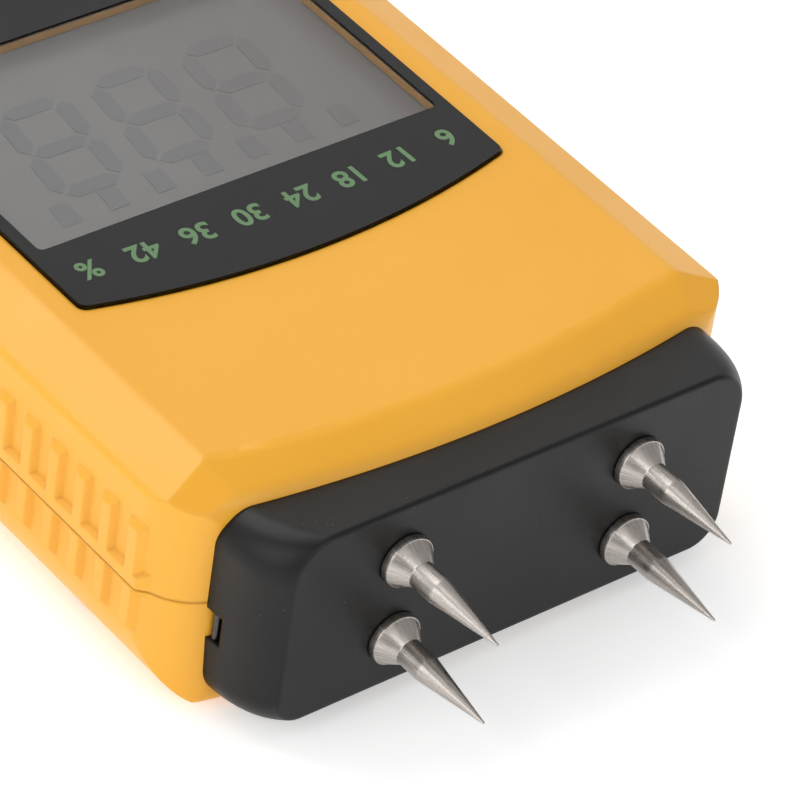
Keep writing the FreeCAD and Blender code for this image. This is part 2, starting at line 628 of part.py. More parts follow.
def pin_leads():
    y0 = NOSE_FACE_Y - INSERT_L - PLATE_T
    return Part.makeCompound([bent_lead(side * PIN_HALF_X, y0, PIN_MID_Z, BOARD_FRONT_Y - 3,
                                        BOARD_LOW) for side in (-1, 1)])


def display_lens():
    return lens_outline(0, RECESS_Z, RECESS_Z + LENS_T)


def lens_border():
    low = RECESS_Z + LENS_T
    border = lens_outline(-MASK_T / 2, low, low + MASK_T)
    return border.cut(rounded_plate(-WINDOW_HALF_W, WINDOW_HALF_W, WINDOW_REAR_Y, WINDOW_FRONT_Y,
                                    low - 1, low + 1, WINDOW_R))


def display_glass():
    return box(-GLASS_HALF_W, GLASS_HALF_W, GLASS_REAR_Y, GLASS_FRONT_Y, GLASS_TOP - GLASS_T,
               GLASS_TOP)


def display_frame():
    w = FRAME_WALL
    outer = box(-GLASS_HALF_W - w, GLASS_HALF_W + w, GLASS_REAR_Y - w, GLASS_FRONT_Y + w,
                BOARD_TOP, GLASS_TOP + 0.1)
    pocket = box(-GLASS_HALF_W, GLASS_HALF_W, GLASS_REAR_Y, GLASS_FRONT_Y, GLASS_TOP - GLASS_T,
                 CASE_H)
    ledge = 1.0
    under = box(-GLASS_HALF_W + ledge, GLASS_HALF_W - ledge, GLASS_REAR_Y + ledge,
                GLASS_FRONT_Y - ledge, BOARD_TOP - 1, GLASS_TOP)
    return outer.cut([pocket, under])


def contact_strips():
    low = GLASS_TOP - GLASS_T
    strips = []
    for y in (GLASS_REAR_Y + STRIP_EDGE, GLASS_FRONT_Y - STRIP_EDGE - STRIP_W):
        strips.append(box(-STRIP_HALF_L, STRIP_HALF_L, y, y + STRIP_W, BOARD_TOP, low))
    return Part.makeCompound(strips)


def circuit_board():
    board = box(-BOARD_HALF_W, BOARD_HALF_W, BOARD_REAR_Y, BOARD_FRONT_Y, BOARD_LOW, BOARD_TOP)
    cuts = []
    clear = SCREW_BOSS_R + 0.3
    front_y, rear_y = SCREW_YS
    for side in (-1, 1):
        x0, x1 = sorted((side * (SCREW_X - clear), side * CASE_HALF_W))
        cuts.append(box(x0, x1, front_y - clear, BOARD_FRONT_Y + 1, 0, CASE_H))
        cuts.append(box(x0, x1, BOARD_REAR_Y - 1, rear_y + clear, 0, CASE_H))
    for x, y in STANDOFFS:
        cuts.append(cyl_z(x, y, BOARD_SCREW_R + 0.15, 0, CASE_H))
    return board.cut(cuts)


def board_parts():
    low = BOARD_LOW
    chips = [box(-6, 6, 4, 16, low - 1.6, low), box(-17, -12, 6, 14, low - 1.4, low),
             box(11, 17, 8, 14, low - 1.4, low), box(-14, -9, 24, 28, low - 1.2, low),
             box(9, 11, 22, 26, low - 1.0, low), box(14, 16, 22, 26, low - 1.0, low),
             box(-20, -18, -4, 0, low - 1.0, low), box(-3, 3, -12, -9, low - 2.6, low),
             cyl_z(-16, -22, 3.2, low - 2.6, low), cyl_z(8, -20, 2.5, low - 2.6, low)]
    return Part.makeCompound(chips)


def buzzer():
    disc = cyl_z(0, BUZZER_Y, 6.0, BOARD_LOW - 3.2, BOARD_LOW)
    return disc.cut(cyl_z(0, BUZZER_Y, 1.0, BOARD_LOW - 4, BOARD_LOW - 2.2))


def board_screws():
    screws = []
    for x, y in STANDOFFS:
        head = cyl_z(x, y, BOARD_SCREW_HEAD_R, BOARD_LOW - BOARD_SCREW_HEAD_T, BOARD_LOW)
        shank = cyl_z(x, y, BOARD_SCREW_R, BOARD_LOW - 0.5, BOARD_TOP + BOARD_SCREW_L - 0.3)
        slot = BOARD_LOW - BOARD_SCREW_HEAD_T - 0.1
        screw = head.fuse(shank).removeSplitter()
        screws.append(screw.cut([box(x - 1.3, x + 1.3, y - 0.25, y + 0.25, slot, slot + 0.8),
                                 box(x - 0.25, x + 0.25, y - 1.3, y + 1.3, slot, slot + 0.8)]))
    return Part.makeCompound(screws)


def case_screws():
    screws = []
    for x in (-SCREW_X, SCREW_X):
        for y in SCREW_YS:
            low = SCREW_SEAT_Z - SCREW_HEAD_T
            head = cyl_z(x, y, SCREW_HEAD_R, low, SCREW_SEAT_Z)
            shank = cyl_z(x, y, SCREW_R, SCREW_SEAT_Z - 0.5, SCREW_TIP_Z)
            screw = head.fuse(shank).removeSplitter()
            screws.append(screw.cut([box(x - 1.5, x + 1.5, y - 0.3, y + 0.3, low - 1, low + 1.0),
                                     box(x - 0.3, x + 0.3, y - 1.5, y + 1.5, low - 1,
                                         low + 1.0)]))
    return Part.makeCompound(screws)


def button(x):
    flange_top = ROOF_Z - FIT
    cap = button_cap(x, 0, flange_top - 0.5, CASE_H + BUTTON_OUT)
    top = CASE_H + BUTTON_OUT
    cap = cap.makeFillet(0.5, [e for e in cap.Edges if all(abs(v.Z - top) < 0.001
                                                          for v in e.Vertexes)])
    flange = button_cap(x, BUTTON_FLANGE, flange_top - BUTTON_FLANGE_T, flange_top)
    knob_top = BOARD_TOP + SWITCH_H + SWITCH_KNOB_H
    stem = cyl_z(x, BUTTON_Y, STEM_R, knob_top + BUTTON_TRAVEL + 0.05, flange_top - 0.2)
    return joined(cap, [flange, stem])


def tact_switches():
    switches = []
    for x in BUTTON_XS:
        body = box(x - SWITCH_HALF, x + SWITCH_HALF, BUTTON_Y - SWITCH_HALF,
                   BUTTON_Y + SWITCH_HALF, BOARD_TOP, BOARD_TOP + SWITCH_H)
        knob = cyl_z(x, BUTTON_Y, SWITCH_KNOB_R, BOARD_TOP + SWITCH_H - 0.2,
                     BOARD_TOP + SWITCH_H + SWITCH_KNOB_H)
        switches.append(body.fuse(knob).removeSplitter())
    return Part.makeCompound(switches)


def terminal_places():
    mid = BATTERY_Y + BATTERY_W / 2
    z = BATTERY_Z + BATTERY_T / 2
    return ((mid - TERMINAL_PITCH / 2, z, TERMINAL_R[0]), (mid + TERMINAL_PITCH / 2, z, TERMINAL_R[1]))


def battery():
    x1 = BATTERY_X + BATTERY_L
    block = box(BATTERY_X, x1, BATTERY_Y, BATTERY_Y + BATTERY_W, BATTERY_Z,
                BATTERY_Z + BATTERY_T)
    longs = [e for e in block.Edges if abs(e.Vertexes[0].X - e.Vertexes[-1].X) > 1]
    block = block.makeFillet(1.6, longs)
    studs = [Part.makeCylinder(r, TERMINAL_L + 0.3, V(x1 - 0.3, y, z), V(1, 0, 0))
             for y, z, r in terminal_places()]
    return joined(block, studs)


def battery_clip():
    x0 = BATTERY_X + BATTERY_L + 0.1
    mid_y = BATTERY_Y + BATTERY_W / 2
    mid_z = BATTERY_Z + BATTERY_T / 2
    plate = box(x0, x0 + CLIP_T, mid_y - CLIP_W / 2, mid_y + CLIP_W / 2, mid_z - CLIP_H / 2,
                mid_z + CLIP_H / 2)
    ends = [e for e in plate.Edges if abs(e.Vertexes[0].X - e.Vertexes[-1].X) > 1]
    plate = plate.makeFillet(2.0, ends)
    holes = [Part.makeCylinder(r + 0.05, TERMINAL_L, V(x0 - 0.1, y, z), V(1, 0, 0))
             for y, z, r in terminal_places()]
    return plate.cut(holes)


def battery_leads():
    y0 = BATTERY_Y + BATTERY_W / 2 + CLIP_W / 2
    mid_z = BATTERY_Z + BATTERY_T / 2
    return Part.makeCompound([
        bent_lead(LEAD_X, y0, mid_z + 1.4, BOARD_REAR_Y + 1.6, BOARD_LOW),
        bent_lead(LEAD_X, y0, mid_z - 1.4, BOARD_REAR_Y + 3.4, BOARD_LOW)])


def battery_door(outline):
    plate = box(-DOOR_HALF_W, DOOR_HALF_W, REAR_Y - 1, DOOR_FRONT_Y, -1, DOOR_T)
    tongue = box(-DOOR_HALF_W - TONGUE, DOOR_HALF_W + TONGUE, REAR_Y + 2, DOOR_FRONT_Y,
                 TONGUE_LOW, DOOR_T)
    door = plate.fuse(tongue).removeSplitter().common(outline)
    ridges = [box(-RIDGE_HALF_W, RIDGE_HALF_W, REAR_Y + y, REAR_Y + y + 1.0, -1, 0.5)
              for y in RIDGE_YS]
    return door.cut(ridges)


def battery_pad():
    mid = BATTERY_Y + BATTERY_W / 2
    return box(-PAD_HALF_W, PAD_HALF_W, mid - PAD_HALF_L, mid + PAD_HALF_L,
               BATTERY_Z + BATTERY_T, ROOF_Z)


os.makedirs("parts", exist_ok=True)
outline = case_solid(0)
inner = case_solid(WALL)
shell = outline.cut(inner)
write(front_housing(shell, outline), "front_housing")
write(rear_housing(shell, outline, inner), "rear_housing")
write(probe_nose(case_solid(0)), "probe_nose")
write(latch_posts(), "latch_posts")
write(needle_pins(), "needle_pins")
write(pin_inserts(), "pin_inserts")
write(contact_plates(), "contact_plates")
write(pin_nuts(), "pin_nuts")
write(pin_leads(), "pin_leads")
write(display_lens(), "display_lens")
write(lens_border(), "lens_border")
write(display_glass(), "display_glass")
write(display_frame(), "display_frame")
write(contact_strips(), "contact_strips")
write(circuit_board(), "circuit_board")
write(board_parts(), "board_parts")
write(buzzer(), "buzzer")
write(board_screws(), "board_screws")
write(case_screws(), "case_screws")
for number, place in enumerate(BUTTON_XS):
    write(button(place), "button_" + ("left", "middle", "right")[number])
write(tact_switches(), "tact_switches")
write(battery(), "battery")
write(battery_clip(), "battery_clip")
write(battery_leads(), "battery_leads")
write(battery_door(outline), "battery_door")
write(battery_pad(), "battery_pad")
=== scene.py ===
import bpy
import bmesh
import math
from mathutils import Matrix, Vector


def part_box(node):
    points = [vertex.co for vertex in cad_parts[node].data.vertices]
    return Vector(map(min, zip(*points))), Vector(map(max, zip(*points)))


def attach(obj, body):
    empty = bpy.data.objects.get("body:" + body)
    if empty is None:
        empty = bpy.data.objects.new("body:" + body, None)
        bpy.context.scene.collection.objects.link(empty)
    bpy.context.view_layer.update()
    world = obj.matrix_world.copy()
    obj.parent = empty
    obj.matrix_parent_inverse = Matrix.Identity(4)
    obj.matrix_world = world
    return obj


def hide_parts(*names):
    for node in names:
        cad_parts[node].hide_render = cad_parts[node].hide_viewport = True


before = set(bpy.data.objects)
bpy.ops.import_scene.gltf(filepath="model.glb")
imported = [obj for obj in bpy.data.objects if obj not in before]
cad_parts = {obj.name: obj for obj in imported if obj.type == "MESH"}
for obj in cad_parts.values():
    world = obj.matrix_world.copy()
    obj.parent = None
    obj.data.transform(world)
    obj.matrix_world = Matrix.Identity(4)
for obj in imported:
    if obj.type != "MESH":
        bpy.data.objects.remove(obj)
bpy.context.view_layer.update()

# ---------------------------------------------------------------------------------------------
# Studio: a white sweep that curls up behind the meter, a large soft panel overhead, one at the
# side and one at the pin end, seen by a long lens from above the left corner of the nose.
# ---------------------------------------------------------------------------------------------
camera_place = Vector((0.28302, 0.34642, 0.34649))
camera_right = Vector((-0.7817, 0.6115, 0.1227)).normalized()
camera_ahead = Vector((-0.5389, -0.5632, -0.6264)).normalized()
camera_up = camera_right.cross(camera_ahead).normalized()
camera_right = camera_ahead.cross(camera_up).normalized()
lens_mm, sensor_mm = 249.3, 36.0
camera = bpy.data.objects.new("studio_camera", bpy.data.cameras.new("studio_camera"))
bpy.context.scene.collection.objects.link(camera)
camera.data.lens = lens_mm
camera.data.sensor_width = sensor_mm
camera.data.clip_start = 0.01
camera.data.clip_end = 20.0
turn = Matrix((camera_right, camera_up, -camera_ahead)).transposed()
camera.matrix_world = Matrix.Translation(camera_place) @ turn.to_4x4()
bpy.context.scene.camera = camera
bpy.context.scene.view_settings.view_transform = "Standard"


def colour(red, green, blue):
    """Screen colour 0-255 to the linear values that shaders take."""
    def straighten(v):
        v /= 255.0
        return v / 12.92 if v <= 0.04045 else ((v + 0.055) / 1.055) ** 2.4
    return (straighten(red), straighten(green), straighten(blue), 1.0)


floor_mesh = bpy.data.meshes.new("studio_floor")
sweep = bmesh.new()
half, front_y, back_y, top_z, curl, steps = 3.0, 2.5, -1.4, 3.0, 0.8, 14
floor_drop = 0.0002
rows = [(front_y, 0.0), (back_y + curl, 0.0)]
for k in range(1, steps + 1):
    angle = math.radians(90 * k / steps)
    rows.append((back_y + curl - curl * math.sin(angle), curl - curl * math.cos(angle)))
rows.append((back_y, top_z))
loops = [[sweep.verts.new((x, y, z - floor_drop)) for x in (-half, half)] for y, z in rows]
for low, high in zip(loops, loops[1:]):
    sweep.faces.new((low[0], low[1], high[1], high[0]))
for face in sweep.faces:
    face.smooth = True
sweep.to_mesh(floor_mesh)
sweep.free()
floor = bpy.data.objects.new("studio_floor", floor_mesh)
bpy.context.scene.collection.objects.link(floor)
floor_look = bpy.data.materials.new("studio_floor")
floor_look.use_nodes = True
floor_shader = floor_look.node_tree.nodes["Principled BSDF"]
floor_shader.inputs["Base Color"].default_value = (0.95, 0.95, 0.95, 1.0)
floor_shader.inputs["Roughness"].default_value = 0.9
floor_shader.inputs["Specular IOR Level"].default_value = 0.1
floor_shader.inputs["Emission Color"].default_value = (1.0, 1.0, 1.0, 1.0)
floor_shader.inputs["Emission Strength"].default_value = 0.32
floor_mesh.materials.append(floor_look)

world = bpy.data.worlds.new("studio_air")
world.use_nodes = True
world.node_tree.nodes["Background"].inputs["Color"].default_value = (1.0, 1.0, 1.0, 1.0)
world.node_tree.nodes["Background"].inputs["Strength"].default_value = 0.5
bpy.context.scene.world = world


def soft_panel(name, place, aim, width, height, watts):
    """A rectangular soft box at place, turned to face aim."""
    light = bpy.data.lights.new(name, "AREA")
    light.shape = "RECTANGLE"
    light.size, light.size_y = width, height
    light.energy = watts
    panel = bpy.data.objects.new(name, light)
    bpy.context.scene.collection.objects.link(panel)
    panel.location = place
    panel.rotation_euler = (Vector(aim) - Vector(place)).to_track_quat("-Z", "Y").to_euler()
    return panel


soft_panel("overhead", (0.12, -0.55, 0.85), (0, 0, 0), 0.8, 0.6, 4.1)
soft_panel("side_key", (0.75, 0.05, 0.42), (0, 0.02, 0.01), 0.5, 0.6, 2.2)
soft_panel("pin_end", (0.1, 0.8, 0.48), (0, 0.05, 0.01), 0.8, 0.35, 2.3)


# ---------------------------------------------------------------------------------------------
# Rear half of the case: yellow ABS, injection moulded with a fine spark-eroded grain and a
# satin skin. It carries the battery bay, the door rails and the four screw bosses.
# ---------------------------------------------------------------------------------------------
def new_group(name, inputs, outputs):
    """A shader node group with its sockets; returns the group and its two end nodes."""
    group = bpy.data.node_groups.new(name, "ShaderNodeTree")
    for label, kind, value in inputs:
        socket = group.interface.new_socket(label, in_out="INPUT", socket_type=kind)
        if value is not None:
            socket.default_value = value
    for label, kind in outputs:
        group.interface.new_socket(label, in_out="OUTPUT", socket_type=kind)
    return group, group.nodes.new("NodeGroupInput"), group.nodes.new("NodeGroupOutput")


def wire(tree, source, target):
    tree.links.new(source, target)


def sums(tree, kind, first, second):
    """A Math node; each operand is a socket or a plain number."""
    node = tree.nodes.new("ShaderNodeMath")
    node.operation = kind
    for slot, value in ((0, first), (1, second)):
        if isinstance(value, (int, float)):
            node.inputs[slot].default_value = value
        else:
            wire(tree, value, node.inputs[slot])
    return node.outputs[0]


def noise(tree, place, scale, detail, rough=0.5):
    node = tree.nodes.new("ShaderNodeTexNoise")
    node.inputs["Scale"].default_value = scale
    node.inputs["Detail"].default_value = detail
    node.inputs["Roughness"].default_value = rough
    wire(tree, place, node.inputs["Vector"])
    return node.outputs["Fac"]


def spread(tree, value, low, high, to_low, to_high):
    """Map Range: low..high becomes to_low..to_high, clamped."""
    node = tree.nodes.new("ShaderNodeMapRange")
    wire(tree, value, node.inputs["Value"])
    for label, number in (("From Min", low), ("From Max", high), ("To Min", to_low),
                          ("To Max", to_high)):
        node.inputs[label].default_value = number
    return node.outputs["Result"]


def blend_colours(tree, mask, first, second):
    node = tree.nodes.new("ShaderNodeMix")
    node.data_type = "RGBA"
    wire(tree, mask, node.inputs["Factor"])
    for slot, value in ((6, first), (7, second)):
        if isinstance(value, tuple):
            node.inputs[slot].default_value = value
        else:
            wire(tree, value, node.inputs[slot])
    return node.outputs[2]


moulded_skin, skin_in, skin_out = new_group(
    "moulded_skin",
    [("Place", "NodeSocketVector", None), ("Colour", "NodeSocketColor", (0.8, 0.8, 0.8, 1)),
     ("Flow Colour", "NodeSocketColor", (0.7, 0.7, 0.7, 1)), ("Gloss", "NodeSocketFloat", 0.4)],
    [("Colour", "NodeSocketColor"), ("Roughness", "NodeSocketFloat"),
     ("Height", "NodeSocketFloat")])
fine = noise(moulded_skin, skin_in.outputs["Place"], 5200.0, 2.0)
grain = noise(moulded_skin, skin_in.outputs["Place"], 2100.0, 3.0)
flow = noise(moulded_skin, skin_in.outputs["Place"], 26.0, 4.0, 0.6)
patch = spread(moulded_skin, flow, 0.35, 0.7, 0.0, 1.0)
wire(moulded_skin, blend_colours(moulded_skin, patch, skin_in.outputs["Colour"],
                                 skin_in.outputs["Flow Colour"]), skin_out.inputs["Colour"])
handled = noise(moulded_skin, skin_in.outputs["Place"], 90.0, 3.0)
shine = sums(moulded_skin, "MULTIPLY", spread(moulded_skin, handled, 0.3, 0.7, 0.88, 1.12),
             skin_in.outputs["Gloss"])
wire(moulded_skin, shine, skin_out.inputs["Roughness"])
wire(moulded_skin, sums(moulded_skin, "ADD", sums(moulded_skin, "MULTIPLY", fine, 0.4), grain),
     skin_out.inputs["Height"])


def start_material(name):
    look = bpy.data.materials.new(name)
    look.use_nodes = True
    tree = look.node_tree
    return look, tree, tree.nodes["Principled BSDF"]


def object_place(tree):
    return tree.nodes.new("ShaderNodeTexCoord").outputs["Object"]


def use_group(tree, group, place):
    node = tree.nodes.new("ShaderNodeGroup")
    node.node_tree = group
    wire(tree, place, node.inputs["Place"])
    return node


def bump(tree, shader, height, depth, strength=1.0, edge_radius=0.0):
    """Raises height by depth; edge_radius, if any, rounds off the look of sharp edges."""
    node = tree.nodes.new("ShaderNodeBump")
    if edge_radius:
        soft_edge = tree.nodes.new("ShaderNodeBevel")
        soft_edge.samples = 6
        soft_edge.inputs["Radius"].default_value = edge_radius
        wire(tree, soft_edge.outputs["Normal"], node.inputs["Normal"])
    node.inputs["Distance"].default_value = depth
    node.inputs["Strength"].default_value = strength
    wire(tree, height, node.inputs["Height"])
    wire(tree, node.outputs["Normal"], shader.inputs["Normal"])


def moulded(name, main, second, gloss, depth, strength=1.0, edge_radius=0.0):
    """Injection-moulded plastic: slight flow marks, satin skin and a fine grain."""
    look, tree, shader = start_material(name)
    skin = use_group(tree, moulded_skin, object_place(tree))
    skin.inputs["Colour"].default_value = main
    skin.inputs["Flow Colour"].default_value = second
    skin.inputs["Gloss"].default_value = gloss
    wire(tree, skin.outputs["Colour"], shader.inputs["Base Color"])
    wire(tree, skin.outputs["Roughness"], shader.inputs["Roughness"])
    bump(tree, shader, skin.outputs["Height"], depth, strength, edge_radius)
    return look, tree, shader


def dress(node, look):
    """Gives a frame part its finish."""
    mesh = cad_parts[node].data
    mesh.materials.clear()
    mesh.materials.append(look)


yellow_abs, _, yellow_shader = moulded(
    "yellow_abs", colour(227, 162, 40), colour(231, 167, 48), 0.4, 0.00002, 0.5, 0.0005)
yellow_shader.inputs["Specular IOR Level"].default_value = 0.45
yellow_shader.inputs["Subsurface Weight"].default_value = 0.12
yellow_shader.inputs["Subsurface Radius"].default_value = (0.0022, 0.0011, 0.0003)
yellow_shader.inputs["Subsurface Scale"].default_value = 1.0
dress("rear_housing", yellow_abs)


# ---------------------------------------------------------------------------------------------
# Front half of the case: the same yellow ABS, with the chamfered face, the recess for the lens
# and the button holes. It closes over the rear half and is held by the four case screws.
# ---------------------------------------------------------------------------------------------
dress("front_housing", yellow_abs)


# ---------------------------------------------------------------------------------------------
# Probe nose: one block of black ABS caught by its flange between the two halves. Its satin
# faces show the odd speck of dust and a few light scuffs.
# ---------------------------------------------------------------------------------------------
dust, dust_in, dust_out = new_group(
    "dust_specks",
    [("Place", "NodeSocketVector", None), ("Scale", "NodeSocketFloat", 900.0),
     ("Amount", "NodeSocketFloat", 0.06)],
    [("Mask", "NodeSocketFloat")])
cells = dust.nodes.new("ShaderNodeTexVoronoi")
wire(dust, dust_in.outputs["Place"], cells.inputs["Vector"])
wire(dust, dust_in.outputs["Scale"], cells.inputs["Scale"])
dots = dust.nodes.new("ShaderNodeMath")
dots.operation = "LESS_THAN"
wire(dust, cells.outputs["Distance"], dots.inputs[0])
wire(dust, dust_in.outputs["Amount"], dots.inputs[1])
where = noise(dust, dust_in.outputs["Place"], 160.0, 2.0)
scattered = spread(dust, where, 0.56, 0.66, 0.0, 1.0)
wire(dust, sums(dust, "MULTIPLY", dots.outputs[0], scattered), dust_out.inputs["Mask"])

black_abs, black_tree, black_shader = moulded(
    "black_abs", colour(13, 13, 13), colour(18, 18, 18), 0.4, 0.00002, 0.6, 0.0005)
black_shader.inputs["Specular IOR Level"].default_value = 0.25
black_skin = black_shader.inputs["Base Color"].links[0].from_socket
specks = use_group(black_tree, dust, object_place(black_tree))
specks.inputs["Scale"].default_value = 1400.0
specks.inputs["Amount"].default_value = 0.1
wire(black_tree, blend_colours(black_tree, specks.outputs["Mask"], black_skin,
                               colour(70, 70, 70)), black_shader.inputs["Base Color"])
dress("probe_nose", black_abs)


# ---------------------------------------------------------------------------------------------
# Needle pins: four turned stainless pins screwed into the nose, each with a round collar that
# is coned down to a plain shank and a long ground point. Fine lathe rings run round them.
# ---------------------------------------------------------------------------------------------
turned, turned_in, turned_out = new_group(
    "turned_rings",
    [("Place", "NodeSocketVector", None), ("Rings per Metre", "NodeSocketFloat", 9000.0)],
    [("Height", "NodeSocketFloat"), ("Shade", "NodeSocketFloat"),
     ("Roughness", "NodeSocketFloat")])
axes = turned.nodes.new("ShaderNodeSeparateXYZ")
wire(turned, turned_in.outputs["Place"], axes.inputs[0])
along = sums(turned, "MULTIPLY", axes.outputs["Y"], turned_in.outputs["Rings per Metre"])
line = turned.nodes.new("ShaderNodeCombineXYZ")
wire(turned, along, line.inputs["X"])
rings = noise(turned, line.outputs[0], 1.0, 4.0, 0.7)
lengthwise = turned.nodes.new("ShaderNodeCombineXYZ")
for label, stretch in (("X", 9000.0), ("Y", 260.0), ("Z", 9000.0)):
    wire(turned, sums(turned, "MULTIPLY", axes.outputs[label], stretch), lengthwise.inputs[label])
streaks = noise(turned, lengthwise.outputs[0], 1.0, 2.0, 0.6)
marks = sums(turned, "ADD", sums(turned, "MULTIPLY", streaks, 0.55),
             sums(turned, "MULTIPLY", rings, 0.45))
stain = noise(turned, turned_in.outputs["Place"], 700.0, 3.0)
wire(turned, marks, turned_out.inputs["Height"])
wire(turned, spread(turned, marks, 0.32, 0.68, 0.0, 1.0), turned_out.inputs["Shade"])
wire(turned, spread(turned, stain, 0.3, 0.7, 0.24, 0.36), turned_out.inputs["Roughness"])


def turned_metal(name, light, dark, rings_per_metre, depth, unrolled=False):
    """Turned metal; unrolled reads the lathe's own map: metres round, metres along."""
    look, tree, shader = start_material(name)
    place = object_place(tree)
    if unrolled:
        own_map = tree.nodes.new("ShaderNodeUVMap")
        own_map.uv_map = "unrolled"
        place = own_map.outputs["UV"]
    lathe = use_group(tree, turned, place)
    lathe.inputs["Rings per Metre"].default_value = rings_per_metre
    wire(tree, blend_colours(tree, lathe.outputs["Shade"], dark, light),
         shader.inputs["Base Color"])
    wire(tree, lathe.outputs["Roughness"], shader.inputs["Roughness"])
    shader.inputs["Metallic"].default_value = 1.0
    bump(tree, shader, lathe.outputs["Height"], depth, 0.5)
    return look


pin_steel = turned_metal("pin_steel", colour(206, 199, 193), colour(138, 131, 125), 9000.0,
                         0.00002, True)


def turned_mesh(name, profile, sides):
    """Lathe: turns a profile of (radius, distance along +Y) about the Y axis."""
    form = bmesh.new()
    unrolled = form.loops.layers.uv.new("unrolled")
    girth = 2 * math.pi * max(radius for radius, reach in profile)
    circles = []
    for radius, reach in profile:
        if radius == 0:
            circles.append([form.verts.new((0, reach, 0))])
            continue
        angles = [2 * math.pi * k / sides for k in range(sides)]
        circles.append([form.verts.new((radius * math.sin(a), reach, radius * math.cos(a)))
                        for a in angles])
    for low_ring, high_ring, low_end, high_end in zip(circles, circles[1:], profile,
                                                      profile[1:]):
        for k in range(sides):
            corners = [low_ring[k % len(low_ring)], low_ring[(k + 1) % len(low_ring)],
                       high_ring[(k + 1) % len(high_ring)], high_ring[k % len(high_ring)]]
            face = form.faces.new(list(dict.fromkeys(corners)))
            for loop in face.loops:
                on_low = loop.vert in low_ring
                step = k + (loop.vert not in (corners[0], corners[3]))
                radius, reach = low_end if on_low else high_end
                loop[unrolled].uv = (girth * step / sides, reach - radius)
    bmesh.ops.recalc_face_normals(form, faces=form.faces)
    mesh = bpy.data.meshes.new(name)
    form.to_mesh(mesh)
    form.free()
    return mesh


copy_grid = bpy.data.node_groups.new("copies_in_a_grid", "GeometryNodeTree")
for label, kind in (("Copied Piece", "NodeSocketObject"), ("Size X", "NodeSocketFloat"),
                    ("Size Y", "NodeSocketFloat"), ("Count X", "NodeSocketInt"),
                    ("Count Y", "NodeSocketInt"), ("Place", "NodeSocketVector"),
                    ("Turn", "NodeSocketVector"), ("Finish", "NodeSocketMaterial")):
    copy_grid.interface.new_socket(label, in_out="INPUT", socket_type=kind)
copy_grid.interface.new_socket("Pieces", in_out="OUTPUT", socket_type="NodeSocketGeometry")
grid_in = copy_grid.nodes.new("NodeGroupInput")
lattice = copy_grid.nodes.new("GeometryNodeMeshGrid")
for label, socket in (("Size X", "Size X"), ("Size Y", "Size Y"), ("Count X", "Vertices X"),
                      ("Count Y", "Vertices Y")):
    wire(copy_grid, grid_in.outputs[label], lattice.inputs[socket])
moved = copy_grid.nodes.new("GeometryNodeTransform")
wire(copy_grid, lattice.outputs["Mesh"], moved.inputs["Geometry"])
wire(copy_grid, grid_in.outputs["Place"], moved.inputs["Translation"])
wire(copy_grid, grid_in.outputs["Turn"], moved.inputs["Rotation"])
copied = copy_grid.nodes.new("GeometryNodeObjectInfo")
wire(copy_grid, grid_in.outputs["Copied Piece"], copied.inputs["Object"])
stood = copy_grid.nodes.new("GeometryNodeInstanceOnPoints")
wire(copy_grid, moved.outputs["Geometry"], stood.inputs["Points"])
wire(copy_grid, copied.outputs["Geometry"], stood.inputs["Instance"])
solid = copy_grid.nodes.new("GeometryNodeRealizeInstances")
wire(copy_grid, stood.outputs["Instances"], solid.inputs["Geometry"])
finished = copy_grid.nodes.new("GeometryNodeSetMaterial")
wire(copy_grid, solid.outputs["Geometry"], finished.inputs["Geometry"])
wire(copy_grid, grid_in.outputs["Finish"], finished.inputs["Material"])
wire(copy_grid, finished.outputs["Geometry"],
     copy_grid.nodes.new("NodeGroupOutput").inputs["Pieces"])


def copies_in_grid(name, mesh, look, size, count, place, turn=(0.0, 0.0, 0.0), crease=35):
    """One plain mesh piece with a copy of mesh at each point of a grid."""
    source = bpy.data.objects.new(name + "_single", mesh)
    bpy.context.scene.collection.objects.link(source)
    piece = bpy.data.objects.new(name, bpy.data.meshes.new(name + "_grid"))
    bpy.context.scene.collection.objects.link(piece)
    modifier = piece.modifiers.new("copies", "NODES")
    modifier.node_group = copy_grid
    values = {"Copied Piece": source, "Size X": size[0], "Size Y": size[1],
              "Count X": count[0], "Count Y": count[1], "Place": place, "Turn": turn,
              "Finish": look}
    for item in copy_grid.interface.items_tree:
        if item.in_out == "INPUT":
            modifier[item.identifier] = values[item.name]
    graph = bpy.context.evaluated_depsgraph_get()
    made = bpy.data.meshes.new_from_object(piece.evaluated_get(graph), depsgraph=graph)
    piece.modifiers.remove(modifier)
    piece.data = made
    made.name = name
    if not made.materials:
        made.materials.append(look)
    for face in made.polygons:
        face.use_smooth = True
    made.set_sharp_from_angle(angle=math.radians(crease))
    bpy.data.objects.remove(source)
    return piece


pins_low, pins_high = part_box("needle_pins")
pin_sides = 72
collar_radius, stud_radius, shank_radius = 0.00276, 0.0012, 0.0014
collar_edge, cone_top = 0.00012, 0.00152
nose_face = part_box("probe_nose")[1][1]
rim, cone_end, point_start = nose_face + 0.0009, nose_face + 0.00262, nose_face + 0.00535
tip, tip_radius = pins_high[1], 0.00012
pin_profile = [(0, pins_low[1]), (stud_radius - 0.00025, pins_low[1]),
               (stud_radius, pins_low[1] + 0.00025), (stud_radius, nose_face),
               (collar_radius - collar_edge, nose_face),
               (collar_radius, nose_face + collar_edge), (collar_radius, rim - collar_edge),
               (collar_radius - 0.3 * collar_edge, rim - 0.3 * collar_edge),
               (collar_radius - collar_edge, rim), (cone_top, cone_end - 0.0001),
               (shank_radius + 0.00003, cone_end), (shank_radius, cone_end + 0.0001),
               (shank_radius, point_start), (shank_radius - 0.00004, point_start + 0.00022)]
pin_profile += [(tip_radius + (shank_radius - 0.00004 - tip_radius) * (1 - k / 6),
                 point_start + 0.00022 + (tip - tip_radius - point_start - 0.00022) * k / 6)
                for k in range(1, 7)]
